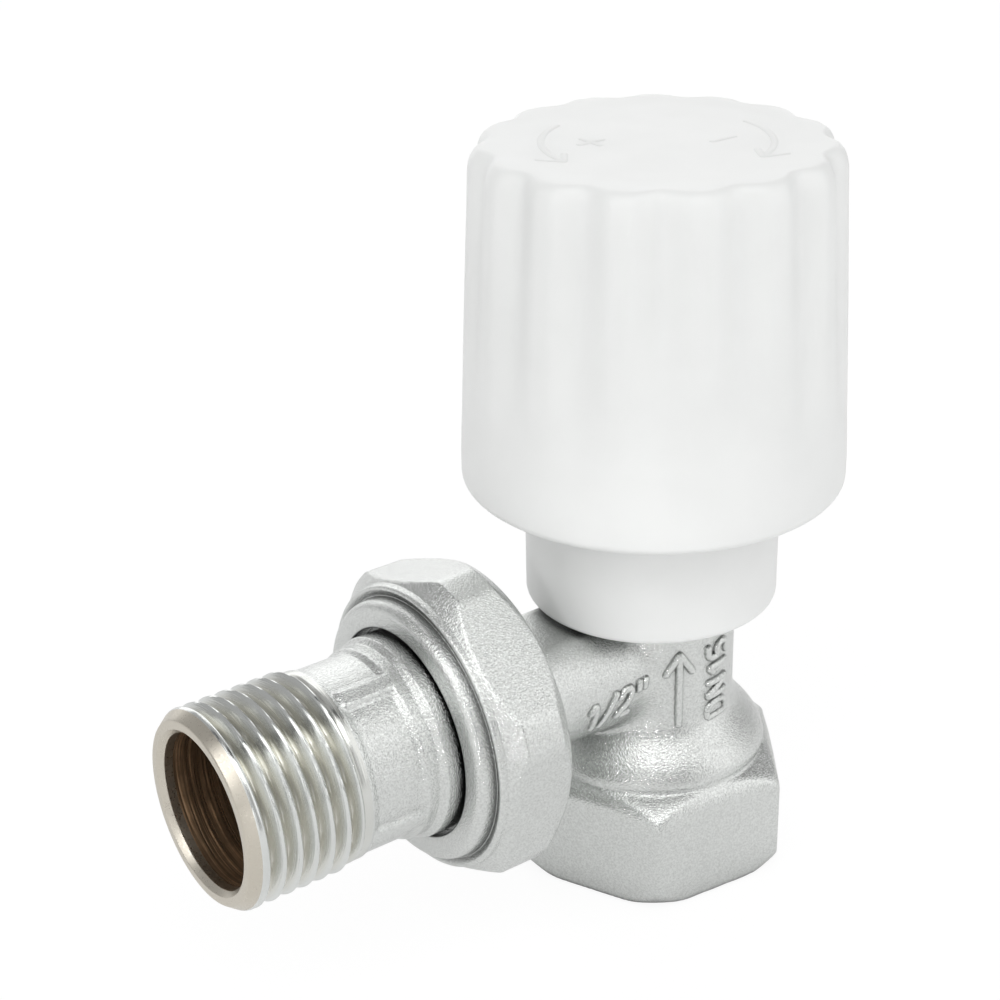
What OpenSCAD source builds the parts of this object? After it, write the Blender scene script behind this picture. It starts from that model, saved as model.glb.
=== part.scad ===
// Angled manual radiator valve with a union tailpiece.
// Millimetres. The face of the inlet hexagon lies on z = 0 and the stem stands on the Z axis.
// The outlet runs towards -X at the height centre_height.

/* [Body] */
// Height of the outlet axis above the inlet face
centre_height = 26; // [25.5:0.5:28]
// Distance from the stem axis to the end of the tailpiece
outlet_reach = 57; // [55.5:0.5:60]
// Width of the inlet hexagon across its flats
hex_af = 28.2; // [27:0.2:30]
// Height of the inlet hexagon
hex_h = 9.7; // [8.5:0.1:10.4]
// Turn of the inlet hexagon about the stem axis
hex_turn = -6; // [-10:1:10]
// Diameter of the round shoulder above the hexagon
shoulder_d = 26.6; // [25:0.2:27.4]
// Diameter of the upright barrel
barrel_d = 18.6; // [18.2:0.1:20]
// Height of the barrel's top above the outlet axis
barrel_rise = 11.4; // [11:0.1:12.4]
// Diameter of the rim that the collar snaps on
rim_d = 23.8; // [23:0.1:24.2]
// Height of that rim
rim_h = 3; // [2:0.1:3.2]
// Outer diameter of the side port between barrel and union
port_d = 14.9; // [14.4:0.1:15.6]
// Height of the trimmed flat on top of the side port above the outlet axis
port_flat = 5.9; // [5.5:0.1:6.1]
// Diameter of the water way in the side port
port_bore_d = 10; // [8.6:0.1:10.4]
// Depth of the valve seat below the outlet axis
seat_drop = 9.6; // [9.2:0.1:9.8]
// Diameter of the water way in the valve seat
seat_bore_d = 10; // [9:0.1:10.4]
// Diameter of the chamber in which the disc travels
chamber_d = 14; // [13.8:0.1:14.4]

/* [Inlet thread] */
// Minor diameter of the inlet's half inch pipe thread
inlet_minor_d = 18.631; // [18.2:0.001:19]
// Length of the inlet thread
inlet_thread_l = 10.8; // [9:0.1:11]

/* [Union] */
// Major diameter of the union thread on the body
union_thread_d = 26.2; // [25.8:0.1:26.6]
// Distance from the stem axis to the body's union face
union_face_x = 29.4; // [29:0.1:30.4]
// Length of the union thread on the body
union_thread_l = 5.3; // [4.8:0.1:5.6]
// Width of the union nut across its flats
nut_af = 31.4; // [30:0.1:32]
// Diameter over the rounded corners of the union nut
nut_corner_d = 34.4; // [33:0.1:34.6]
// Length of the union nut
nut_l = 10; // [9.6:0.1:10.4]
// Thickness of the lip that pulls the tailpiece in
nut_lip_t = 1.8; // [1.4:0.1:2.2]
// Turn of the nut's corners about the outlet axis
nut_turn = 48; // [0:1:60]

/* [Tailpiece] */
// Major diameter of the tailpiece's half inch pipe thread
tail_thread_d = 20.955; // [20.8:0.001:21.2]
// Length of that thread
tail_thread_l = 12.6; // [11:0.1:13.4]
// Diameter of the water way
tail_bore_d = 16.2; // [14:0.1:16.6]
// Diameter of the neck between the ribs
tail_neck_d = 19.6; // [18.8:0.1:20]
// Height of the ribs above the neck
rib_h = 0.5; // [0.3:0.1:0.7]
// Width of one rib
rib_w = 2.4; // [1.6:0.1:3.2]
// Thickness of the flange that the nut grips
flange_t = 2; // [1.6:0.1:2.4]
// Length of the spigot that enters the body
spigot_l = 3; // [2.6:0.1:3.2]

/* [Headwork] */
// Diameter of the bonnet's thread in the body
bonnet_thread_d = 16; // [15.4:0.1:16.2]
// Length of that thread
bonnet_thread_l = 6.5; // [5:0.1:7]
// Width of the bonnet hexagon across its flats
bonnet_af = 19; // [17:0.1:19]
// Height of the bonnet's flange and hexagon together
bonnet_hex_h = 5; // [4:0.1:5.6]
// Diameter of the bonnet's neck
bonnet_neck_d = 13; // [12:0.1:13.4]
// Width of the gland nut across its flats
gland_af = 17; // [16:0.1:18]
// Height of the gland nut
gland_h = 5.6; // [5:0.1:6]
// Major diameter of the stem's lifting thread
stem_thread_d = 9; // [8.4:0.1:9.2]
// Pitch of the lifting thread
stem_pitch = 1.5; // [1:0.25:2]
// Turns of the handwheel from shut to open
stem_turns = 3; // [2:0.25:3]
// Diameter of the stem where its seals run
stem_d = 7.8; // [7.2:0.1:7.9]
// Diameter over the splines at the top of the stem
spline_d = 6.8; // [6:0.1:7]
// Number of splines
spline_n = 18; // [12:1:24]
// Cord thickness of the stem seals
stem_seal_t = 1.4; // [1.2:0.1:1.6]

/* [Disc] */
// Diameter of the disc holder
disc_d = 12.8; // [12.2:0.1:13.2]
// Thickness of the rubber seat washer
seat_washer_t = 2.2; // [1.8:0.1:2.6]
// Diameter of the stud that carries the seat washer
stud_d = 3; // [2.6:0.1:3.2]

/* [Collar] */
// Outer diameter of the collar under the handwheel
collar_d = 27.4; // [27:0.1:28.6]
// Height of the collar
collar_h = 20; // [18.5:0.1:21]
// Wall of the collar
collar_wall = 1.4; // [1.2:0.1:1.5]
// Height of the collar's lower edge above the outlet axis
collar_rise = 6.2; // [6.1:0.1:6.5]

/* [Handwheel] */
// Diameter of the handwheel at its lower edge
wheel_d = 40.9; // [39:0.1:43]
// Diameter of the handwheel just below its top edge
wheel_top_d = 37.6; // [36:0.1:39]
// Height of the handwheel
wheel_h = 36.4; // [35:0.1:40]
// Height of the handwheel's lower edge above the outlet axis, when shut
wheel_rise = 20; // [19:0.1:21]
// Wall of the handwheel
wheel_wall = 2.2; // [1.8:0.1:2.6]
// Number of grip flutes
flute_n = 15; // [9:1:18]
// Depth of the flutes at the top edge
flute_depth = 1.5; // [0.8:0.1:1.8]
// Radius of the tool that cuts a flute
flute_r = 3.4; // [2.6:0.1:4]
// Turn of the first flute about the stem axis
flute_turn = 15.4; // [0:0.1:24]
// Diameter of the boss that grips the stem
boss_d = 12; // [11:0.1:13]
// Number of ribs that stiffen the handwheel inside
wheel_rib_n = 6; // [4:1:8]

/* [Fits] */
// Radial clearance of a turning or sliding fit
run_gap = 0.05; // [0.03:0.01:0.08]
// Gap between parts that only lie against each other
seat_gap = 0.1; // [0.05:0.01:0.15]
// Radial clearance round the tailpiece in the nut's hole
hole_gap = 0.45; // [0.3:0.05:0.6]

/* [Hidden] */
$fn = 96;
hair = 0.01; // overlap of two cutters that meet
over = 1; // how far a cutter or a core reaches past a face
edge = 0.5; // broken edge of a turned part

// Colours
nickel = [0.80, 0.80, 0.79];
bright_nickel = [0.86, 0.85, 0.83];
raw_brass = [0.80, 0.66, 0.38];
white_plastic = [0.93, 0.94, 0.93];
black_rubber = [0.10, 0.10, 0.10];
white_seal = [0.95, 0.95, 0.93];
spring_steel = [0.55, 0.55, 0.57];

// Corner radius of a hexagon from its width across flats
function corner_r(af) = af / 2 / cos(30);
// Points of an arc about (cx, cy) from angle a0 to a1 in n steps
function arc(cx, cy, r, a0, a1, n = 6) =
    [for (i = [0:n]) [cx + r * cos(a0 + (a1 - a0) * i / n), cy + r * sin(a0 + (a1 - a0) * i / n)]];

// Heights along the stem
lift = stem_pitch * stem_turns;
seat_z = centre_height - seat_drop;
body_top = centre_height + barrel_rise;
seat_moat = 1.6;
chamber_floor = seat_z - seat_moat;
throat_cone = 1.6;

// Body radii
barrel_r = barrel_d / 2;
inlet_r = inlet_minor_d / 2;
seat_bore_r = seat_bore_d / 2;
seat_lip_r = seat_bore_r + 0.9;
rim_r = rim_d / 2;
hex_low_r = hex_af / 2 + 0.6;
shoulder_r = shoulder_d / 2;
step_r = shoulder_r + 0.7; // round foot of the shoulder, inside the hexagon
step_h = 2.4;
dome_round = 2.6;
dome_z = hex_h + 4.8;
waist_round = 1.8;
waist_z = dome_z + 5.8;

// Side port, as distances from the stem axis
port_r = port_d / 2;
port_drop = 0.5; // the port hangs this much below the outlet axis
union_neck_x = union_face_x - union_thread_l;
union_r = union_thread_d / 2;
relief = 1;
port_flange_r = union_r - 0.6;
port_flange_t = 1.6;
port_round = 2.4;
port_flare_x = union_neck_x - 3.4;
spigot_r = 9.6;
mouth_r = spigot_r + run_gap;
mouth_x = union_face_x - spigot_l - 0.2;
mouth_cone = 2;

// Bonnet levels: its flange lies on the seal on top of the body
seal_cord = 1.2;
bonnet_seal_r = 9.6;
groove_play = 0.1;
bonnet_r = bonnet_thread_d / 2;
bonnet_flange_r = 10.9;
bonnet_flange_t = 1.2;
bonnet_flange_z = body_top + seat_gap;
bonnet_hex_top = bonnet_flange_z + bonnet_hex_h;
bonnet_bottom = body_top - bonnet_thread_l;
bonnet_neck_r = bonnet_neck_d / 2;
stem_r = stem_d / 2;
stem_bore_r = stem_r + run_gap;
stem_thread_r = stem_thread_d / 2;
stem_thread_top = bonnet_hex_top - lift + edge;
back_seat_z = stem_thread_top + lift + seat_gap;
seal_low_z = back_seat_z + 1.2;
seal_high_z = seal_low_z + 2.2;
bonnet_neck_top = seal_high_z + lift + 1.2;
gland_washer_t = 0.8;
gland_overlap = 3.2;
gland_z = bonnet_neck_top - gland_overlap;
gland_top = gland_z + gland_h;
gland_room = gland_overlap + gland_washer_t + 2 * seat_gap;

// Disc levels
disc_r = disc_d / 2;
stud_r = stud_d / 2;
disc_bottom = seat_z + 0.03;
washer_top = disc_bottom + seat_washer_t;
washer_r = disc_r - 0.75;
washer_lip = 0.7; // depth to which the holder's rim stays above the washer's face
disc_web = 1.2; // floor between the washer and the foot
socket_floor = washer_top + disc_web;
foot_t = 1.2;
foot_r = 3.4;
foot_z = socket_floor + seat_gap;
clip_z = foot_z + foot_t + 0.15;
clip_t = 0.7;
disc_top = clip_z + clip_t + 0.8;
stem_groove_r = 2.4;
shank_r = stem_thread_r - 0.9;
socket_r = shank_r + 0.25;
socket_wall = 1.2;
clip_r = socket_r + 0.42;
clip_slot = 3;
stem_thread_z = bonnet_bottom - 2;
disc_nut_t = 1.9;
disc_nut_af = 5.5;
disc_nut_z = disc_bottom - disc_nut_t - 0.05;
seal_groove_r = stem_r - stem_seal_t * 0.82;

// Handwheel levels, those of the inside as heights above its lower edge
wheel_z = centre_height + wheel_rise;
wheel_r = wheel_d / 2;
wheel_top_r = wheel_top_d / 2;
wheel_round = 1.8; // rounding of the top edge
wheel_foot = 1.1; // rounding of the lower edge
wheel_straight = 3; // upright part above the lower edge
wheel_bulge = 1.25; // how late the side leans in
wheel_roof = wheel_h - 2.4;
cavity_straight = 8;
cavity_r = wheel_r - wheel_wall;
cavity_top_r = wheel_top_r - wheel_wall - flute_depth;
flute_run = wheel_h - 8; // length over which a flute runs out
boss_z = gland_top + 0.8;
boss_low = boss_z - wheel_z;
boss_r = boss_d / 2;
rib_t = 1.2;
rib_depth = 13;
spline_r = spline_d / 2;
spline_z = boss_z;
spline_l = 10;
stem_top = boss_z + spline_l;
spline_depth = 0.45;
spline_play = 0.06;
ring_z = boss_z + 1.5;
ring_w = 3.2;
ring_t = 0.8;
ring_slot = 1.2;

// Collar levels
collar_z = centre_height + collar_rise;
collar_r = collar_d / 2;
collar_in_r = collar_r - collar_wall;
collar_round = 1.2;
ledge_t = 1.2;
ledge_r = corner_r(bonnet_af) + 0.15;
ledge_z = body_top + seat_gap;
bead_r = rim_r - 0.2;
bead_z = body_top - rim_h - seat_gap;

// Union and tailpiece, as distances from the stem axis
flange_x = union_face_x + seat_gap;
flange_r = union_r - 0.5;
lip_x = flange_x + flange_t + seat_gap;
nut_front_x = lip_x + nut_lip_t;
nut_rear_x = nut_front_x - nut_l;
nut_thread_r = union_r + run_gap;
nut_corner_r = nut_corner_d / 2;
nut_flat_r = nut_af / 2;
nut_ring_r = 15.3; // round step in front of the hexagon
nut_boss_r = 14; // second step, round the hole
nut_boss_l = 1.4;
nut_ring_l = 0.9;
nut_cone = 1.6; // length of the cone that cuts the hexagon's front corners
nut_rear_cone = 1.7;
tail_r = tail_thread_d / 2;
tail_collar_r = tail_r + 0.35;
nut_hole_r = tail_collar_r + hole_gap;
tail_thread_x = outlet_reach - tail_thread_l;
tail_neck_r = tail_neck_d / 2;
tail_end_d = tail_bore_d + 2 * edge;
rib_r = tail_neck_r + rib_h;
rib_turn = 67.5;
neck_x = tail_thread_x - 1.4; // end of the neck, in front of the thread
neck_ring_x = nut_front_x + 2.2; // end of the smooth collar in the nut's hole
neck_bar_w = 1.1;
thread_relief = 0.45;
tail_chamfer = 1.1;
tail_seal_w = 1.4;
tail_seal_cord = 0.74;
tail_groove_r = spigot_r - tail_seal_cord - 0.01;
tail_seal_x = flange_x - spigot_l / 2;

// Lays a shape made along +Z onto the outlet: z becomes the distance from the stem axis
module outlet() {
    translate([0, 0, centre_height]) rotate([0, -90, 0]) children();
}

// Ring of rectangular section that stands on z = 0
module ring(r_in, r_out, h) {
    difference() {
        cylinder(r = r_out, h = h);
        translate([0, 0, -over]) cylinder(r = r_in, h = h + 2 * over);
    }
}

// Seal ring of round cord
module cord_ring(r, cord) {
    rotate_extrude() translate([r, 0]) circle(d = cord, $fn = 32);
}

// Hexagon prism whose corners are cut by cones that leave the radii low_r and high_r on its ends
module hex_bar(af, h, low_r, high_r, turn = 0) {
    r = corner_r(af) + 0.1;
    rake = tan(35);
    intersection() {
        rotate([0, 0, turn]) cylinder(r = corner_r(af), h = h, $fn = 6);
        rotate_extrude() polygon([
            [0, 0], [low_r, 0], [r, (r - low_r) * rake],
            [r, h - (r - high_r) * rake], [high_r, h], [0, h]]);
    }
}

// Round form of the body from the hexagon up to its top: foot, dome, waist, barrel and rim
module body_round() {
    foot_round = 0.8;
    rotate_extrude() polygon(concat(
        [[0, hex_h - over], [step_r - edge, hex_h - over], [step_r, hex_h + step_h]],
        arc(step_r - foot_round, hex_h + step_h, foot_round, 0, 80, 4),
        [[shoulder_r - 0.15, hex_h + step_h + 1.2]],
        arc(shoulder_r - dome_round, dome_z, dome_round, 8, 62, 6),
        arc(barrel_r + waist_round, waist_z, waist_round, 248, 180, 6),
        [[barrel_r, body_top - rim_h - (rim_r - barrel_r)],
         [rim_r, body_top - rim_h], [rim_r, body_top - edge],
         [rim_r - edge, body_top], [0, body_top]]));
}

// Slope from the flat hexagon up to the round foot of the shoulder
module hex_slope() {
    rim = 0.4;
    hull() {
        translate([0, 0, hex_h - rim])
            rotate([0, 0, hex_turn]) cylinder(r = corner_r(hex_af) - rim, h = rim, $fn = 6);
        translate([0, 0, hex_h + step_h - 0.2]) cylinder(r = step_r - 0.1, h = 0.1, $fn = 48);
    }
}

// Round blank of the side port, which flares towards the union
module port_blank() {
    flare_r = port_r + port_round;
    rotate_extrude() polygon(concat(
        [[0, 0], [port_r + 1.2, 0], [port_r + 1.2, barrel_r - 1.5]],
        arc(port_r + dome_round, barrel_r + 3.2, dome_round, 215, 180, 4),
        arc(flare_r, port_flare_x, port_round, 180, 118, 5),
        [[port_flange_r - 1.4, union_neck_x - 1], [0, union_neck_x - 1]]));
}

// Side port with the flat trimmed under the collar, and the flange behind the union thread
module body_port() {
    flat_x = union_neck_x - 2.4;
    difference() {
        outlet() translate([-port_drop, 0, 0]) port_blank();
        translate([-flat_x, -port_d, centre_height + port_flat]) cube([flat_x, 2 * port_d, port_d]);
    }
    outlet() translate([0, 0, union_neck_x - port_flange_t]) rotate_extrude() polygon([
        [0, 0], [port_flange_r - 1.8, 0], [port_flange_r, 1.2],
        [port_flange_r, port_flange_t], [0, port_flange_t]]);
}

module union_thread() {
    outlet() rotate_extrude() polygon([
        [0, union_neck_x - edge], [union_r - relief, union_neck_x - edge],
        [union_r - relief, union_neck_x], [union_r, union_neck_x + 0.6],
        [union_r, union_face_x - 0.8], [union_r - 0.8, union_face_x], [0, union_face_x]]);
}

// All that is bored along the stem axis: inlet, throat, moat round the seat, chamber, bonnet thread
module upright_bore() {
    thread_r = bonnet_r + run_gap;
    rotate_extrude() polygon([
        [0, -over], [inlet_r, -over], [inlet_r, inlet_thread_l],
        [seat_bore_r, inlet_thread_l + throat_cone],
        [seat_bore_r, seat_z], [seat_lip_r, seat_z], [seat_lip_r, chamber_floor],
        [chamber_d / 2, chamber_floor], [chamber_d / 2, bonnet_bottom - over],
        [thread_r, bonnet_bottom - over], [thread_r, body_top - edge],
        [thread_r + edge, body_top], [thread_r + edge, body_top + over], [0, body_top + over]]);
}

// All that is bored along the outlet: water way of the port, and the mouth for the tailpiece
module outlet_bore() {
    outlet() translate([-port_drop, 0, 0]) cylinder(d = port_bore_d, h = mouth_x);
    outlet() rotate_extrude() polygon([
        [0, mouth_x - mouth_cone], [port_bore_d / 2 - port_drop, mouth_x - mouth_cone],
        [mouth_r - 0.8, mouth_x], [mouth_r, mouth_x], [mouth_r, union_face_x - 0.6],
        [mouth_r + 0.7, union_face_x + hair], [0, union_face_x + hair]]);
}

// Forged and turned body: inlet, seat, chamber, barrel and union face
module valve_body() {
    color(nickel) difference() {
        union() {
            hex_bar(hex_af, hex_h, hex_low_r, corner_r(hex_af), hex_turn);
            hex_slope();
            body_round();
            body_port();
            union_thread();
        }
        upright_bore();
        outlet_bore();
        // Groove for the bonnet seal
        translate([0, 0, body_top - seal_cord + seat_gap])
            ring(bonnet_seal_r - seal_cord / 2 - groove_play,
                bonnet_seal_r + seal_cord / 2 + groove_play, seal_cord);
    }
}

// Headwork that screws into the barrel and guides the stem
module bonnet() {
    nut_bevel = 0.2;
    color(raw_brass) difference() {
        union() {
            rotate_extrude() polygon([
                [0, bonnet_bottom], [bonnet_r - 0.7, bonnet_bottom], [bonnet_r, bonnet_bottom + 0.7],
                [bonnet_r, body_top - edge - 0.5], [bonnet_r - edge, body_top - edge],
                [bonnet_r - edge, bonnet_flange_z], [bonnet_flange_r, bonnet_flange_z],
                [bonnet_flange_r, bonnet_flange_z + bonnet_flange_t],
                [bonnet_neck_r, bonnet_flange_z + bonnet_flange_t],
                [bonnet_neck_r, bonnet_neck_top], [0, bonnet_neck_top]]);
            translate([0, 0, bonnet_flange_z + hair])
                hex_bar(bonnet_af, bonnet_hex_h - hair, bonnet_af / 2, bonnet_af / 2 - nut_bevel, 30);
        }
        // Lifting thread, then the smooth bore that the stem's seals run in
        rotate_extrude() polygon([
            [0, bonnet_bottom - over], [stem_thread_r + 0.7, bonnet_bottom - over],
            [stem_thread_r + 0.7, bonnet_bottom], [stem_thread_r + run_gap, bonnet_bottom + 0.65],
            [stem_thread_r + run_gap, back_seat_z], [stem_bore_r, back_seat_z],
            [stem_bore_r, bonnet_neck_top - edge], [stem_bore_r + edge, bonnet_neck_top],
            [stem_bore_r + edge, bonnet_neck_top + over], [0, bonnet_neck_top + over]]);
    }
}

module bonnet_seal() {
    color(black_rubber) translate([0, 0, body_top + seat_gap - seal_cord / 2])
        cord_ring(bonnet_seal_r, seal_cord);
}

// Cap nut on the bonnet's neck
module gland_nut() {
    bevel_r = gland_af / 2 - 0.2;
    bore_r = bonnet_neck_r + run_gap;
    hole_r = stem_bore_r + groove_play;
    color(raw_brass) translate([0, 0, gland_z]) difference() {
        hex_bar(gland_af, gland_h, bevel_r, bevel_r, 30);
        rotate_extrude() polygon([
            [0, -over], [bore_r, -over], [bore_r, gland_room], [hole_r, gland_room],
            [hole_r, gland_h + over], [0, gland_h + over]]);
    }
}

module gland_washer() {
    color(white_seal) translate([0, 0, bonnet_neck_top + seat_gap])
        ring(stem_bore_r, bonnet_neck_r - groove_play, gland_washer_t);
}

// White sleeve that snaps over the body's rim and hides the headwork
module collar() {
    r = collar_r;
    in_r = collar_in_r;
    top = collar_z + collar_h;
    color(white_plastic) rotate_extrude() polygon(concat(
        [[in_r, collar_z], [r - collar_round, collar_z]],
        arc(r - collar_round, collar_z + collar_round, collar_round, 270, 360, 6),
        [[r, top - edge], [r - edge, top], [in_r, top],
         [in_r, ledge_z + ledge_t], [ledge_r, ledge_z + ledge_t], [ledge_r, ledge_z],
         [in_r, ledge_z], [in_r, bead_z - 0.1], [bead_r, bead_z - 0.5],
         [bead_r, bead_z - 0.7], [in_r, bead_z - 1.2]]));
}

// Holder that swivels on the stem's foot and carries the seat washer
module disc_holder() {
    neck_r = socket_r + socket_wall;
    rim_z = disc_bottom + washer_lip;
    color(raw_brass) difference() {
        union() {
            rotate_extrude() polygon([
                [0, rim_z], [disc_r, rim_z], [disc_r, washer_top + 1],
                [neck_r, disc_top - socket_wall], [neck_r, disc_top - 0.3],
                [neck_r - 0.3, disc_top], [0, disc_top]]);
            translate([0, 0, disc_nut_z - 0.25]) cylinder(r = stud_r, h = washer_top - disc_nut_z);
        }
        // Seat of the rubber washer
        translate([0, 0, disc_bottom - over]) ring(stud_r, disc_r - washer_lip, seat_washer_t + over);
        // Socket for the stem's foot, with the groove of its clip
        translate([0, 0, socket_floor]) cylinder(r = socket_r, h = disc_top - socket_floor + over);
        translate([0, 0, clip_z - 0.05]) cylinder(r = clip_r + 0.08, h = clip_t + 0.1);
    }
}

module seat_washer() {
    color(black_rubber) translate([0, 0, disc_bottom])
        ring(stud_r + run_gap, washer_r, seat_washer_t - 0.05);
}

module disc_nut() {
    color(raw_brass) translate([0, 0, disc_nut_z]) difference() {
        hex_bar(disc_nut_af, disc_nut_t, disc_nut_af / 2, corner_r(disc_nut_af), 0);
        translate([0, 0, -over]) cylinder(r = stud_r + run_gap, h = disc_nut_t + 2 * over);
    }
}

// Open spring clip that keeps the foot in the holder
module disc_clip() {
    color(spring_steel) translate([0, 0, clip_z]) difference() {
        ring(stem_groove_r + run_gap, clip_r, clip_t);
        translate([0, -clip_slot / 2, -over]) cube([disc_d, clip_slot, clip_t + 2 * over]);
    }
}

// Rising stem: foot, lifting thread, seal grooves and splines
module stem() {
    shank_z = clip_z + clip_t + 0.15;
    groove_w = stem_seal_t + 0.3;
    color(raw_brass) difference() {
        union() {
            rotate_extrude() polygon([
                [0, foot_z], [foot_r, foot_z], [foot_r, foot_z + foot_t],
                [stem_groove_r, foot_z + foot_t], [stem_groove_r, shank_z], [shank_r, shank_z],
                [shank_r, stem_thread_z], [stem_thread_r, stem_thread_z + stem_thread_r - shank_r],
                [stem_thread_r, stem_thread_top - edge], [stem_thread_r - edge, stem_thread_top],
                [stem_r, stem_thread_top], [stem_r, spline_z - 0.4], [stem_r - 0.4, spline_z],
                [0, spline_z]]);
            translate([0, 0, spline_z - over]) spline_bar(spline_r, stem_top - spline_z + over);
        }
        for (z = [seal_low_z, seal_high_z])
            translate([0, 0, z - groove_w / 2]) ring(seal_groove_r, stem_d, groove_w);
    }
}

// Straight splines with triangular valleys and a chamfered top
module spline_bar(r, h) {
    intersection() {
        linear_extrude(height = h) spline_outline(r, spline_depth);
        rotate_extrude() polygon([[0, 0], [r + over, 0], [r + over, h - over - edge],
            [r - edge, h], [0, h]]);
    }
}

// Star outline of the splines, from tip radius and valley depth
module spline_outline(r, depth) {
    polygon([for (i = [0:2 * spline_n - 1])
        let (a = i * 180 / spline_n, q = r - (i % 2 == 0 ? 0 : depth)) [q * cos(a), q * sin(a)]]);
}

module stem_seal(z) {
    color(black_rubber) translate([0, 0, z])
        cord_ring((seal_groove_r + stem_bore_r) / 2, stem_bore_r - seal_groove_r - 0.1);
}

module stem_seal_lower() {
    stem_seal(seal_low_z);
}

module stem_seal_upper() {
    stem_seal(seal_high_z);
}

// Outer form of the handwheel without its flutes
module wheel_blank() {
    lean_h = wheel_h - wheel_straight - 2;
    rotate_extrude() polygon(concat(
        [[0, 0], [wheel_r - wheel_foot, 0]],
        arc(wheel_r - wheel_foot, wheel_foot, wheel_foot, 270, 360, 5),
        [[wheel_r, wheel_straight]],
        [for (i = [1:5]) [wheel_r + (wheel_top_r - wheel_r) * pow(i / 6, wheel_bulge),
            wheel_straight + lean_h * i / 6]],
        arc(wheel_top_r - wheel_round, wheel_h - wheel_round, wheel_round, 0, 90, 6),
        [[0, wheel_h]]));
}

// Grip flutes: deep at the top edge, running out towards the bottom
module wheel_flutes() {
    lean = atan((flute_depth + wheel_r - wheel_top_r) / flute_run);
    for (i = [0:flute_n - 1])
        rotate([0, 0, flute_turn + 360 / flute_n * i])
            translate([wheel_top_r - flute_depth + flute_r, 0, wheel_h]) rotate([0, 180 - lean, 0])
                translate([0, 0, -3 * over]) cylinder(r = flute_r, h = wheel_h);
}

// Space inside the handwheel
module wheel_cavity() {
    rotate_extrude() polygon([
        [0, -over], [cavity_r, -over], [cavity_r, cavity_straight],
        [cavity_top_r, wheel_roof], [0, wheel_roof]]);
}

// Moulded handwheel: open below, with a boss and ribs inside
module handwheel() {
    rib_l = cavity_top_r - boss_r + edge;
    color(white_plastic) translate([0, 0, wheel_z]) difference() {
        union() {
            difference() {
                wheel_blank();
                wheel_flutes();
                wheel_cavity();
            }
            translate([0, 0, boss_low]) cylinder(r = boss_r, h = wheel_roof - boss_low + hair);
            for (i = [0:wheel_rib_n - 1]) rotate([0, 0, 360 / wheel_rib_n * i])
                translate([boss_r - edge / 2, -rib_t / 2, wheel_roof - rib_depth])
                    cube([rib_l, rib_t, rib_depth + hair]);
        }
        // Splined socket and the seat of the spring ring
        translate([0, 0, boss_low - over]) linear_extrude(height = spline_l + 0.6 + over)
            spline_outline(spline_r + spline_play, spline_depth);
        translate([0, 0, ring_z - wheel_z]) ring(boss_r - ring_t, boss_r + over, ring_w);
    }
}

// Spring ring that tightens the boss on the splines
module boss_ring() {
    color(spring_steel) translate([0, 0, ring_z + run_gap]) difference() {
        ring(boss_r - ring_t + run_gap, boss_r, ring_w - 2 * run_gap);
        rotate([0, 0, 30]) translate([0, -ring_slot / 2, -over])
            cube([boss_d, ring_slot, ring_w + 2 * over]);
    }
}

// Tailpiece: spigot and flange in the union, ribbed neck and male thread
module tailpiece() {
    chamfer = 0.3;
    spigot_x = flange_x - spigot_l;
    flange_end = flange_x + flange_t;
    color(bright_nickel) outlet() difference() {
        union() {
            rotate_extrude() polygon([
                [0, spigot_x], [spigot_r - edge, spigot_x], [spigot_r, spigot_x + edge],
                [spigot_r, flange_x], [flange_r - chamfer, flange_x],
                [flange_r, flange_x + chamfer], [flange_r, flange_end - chamfer],
                [flange_r - chamfer, flange_end], [tail_collar_r, flange_end],
                [tail_collar_r, neck_ring_x - 0.6], [tail_collar_r - 0.6, neck_ring_x],
                [tail_neck_r, neck_ring_x + edge], [tail_neck_r, neck_x - 0.4],
                [tail_r - thread_relief, neck_x + 0.2], [tail_r - thread_relief, tail_thread_x],
                [tail_r, tail_thread_x + 0.4], [tail_r, outlet_reach - tail_chamfer],
                [tail_r - tail_chamfer, outlet_reach], [0, outlet_reach]]);
            for (a = [0:90:270]) rotate([0, 0, a + rib_turn]) neck_rib();
            neck_bar();
        }
        translate([0, 0, spigot_x - over]) cylinder(d = tail_bore_d, h = outlet_reach);
        translate([0, 0, outlet_reach - edge])
            cylinder(d1 = tail_bore_d, d2 = tail_end_d, h = edge + hair);
        // Groove for the spigot's seal
        translate([0, 0, tail_seal_x - tail_seal_w / 2])
            ring(tail_groove_r, spigot_r + over, tail_seal_w);
    }
}

// Low band round the neck next to the smooth collar
module neck_bar() {
    core_r = tail_neck_r - over;
    translate([0, 0, neck_ring_x + 0.2]) rotate_extrude() polygon([
        [core_r, 0], [rib_r, 0], [rib_r, neck_bar_w], [tail_neck_r - 0.1, neck_bar_w + 0.8],
        [core_r, neck_bar_w + 0.8]]);
}

// One lengthwise rib of the neck
module neck_rib() {
    x0 = neck_ring_x + 0.3;
    x1 = neck_x + 0.2;
    core_r = tail_neck_r - over;
    intersection() {
        translate([0, -rib_w / 2, x0]) cube([rib_r + over, rib_w, x1 - x0]);
        rotate_extrude() polygon([
            [core_r, x0], [rib_r, x0], [rib_r, x1 - 0.8], [rib_r - 0.4, x1], [core_r, x1]]);
    }
}

module tail_seal() {
    color(black_rubber) outlet() translate([0, 0, tail_seal_x])
        cord_ring(spigot_r - tail_seal_cord / 2 + 0.02, tail_seal_cord);
}

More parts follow.
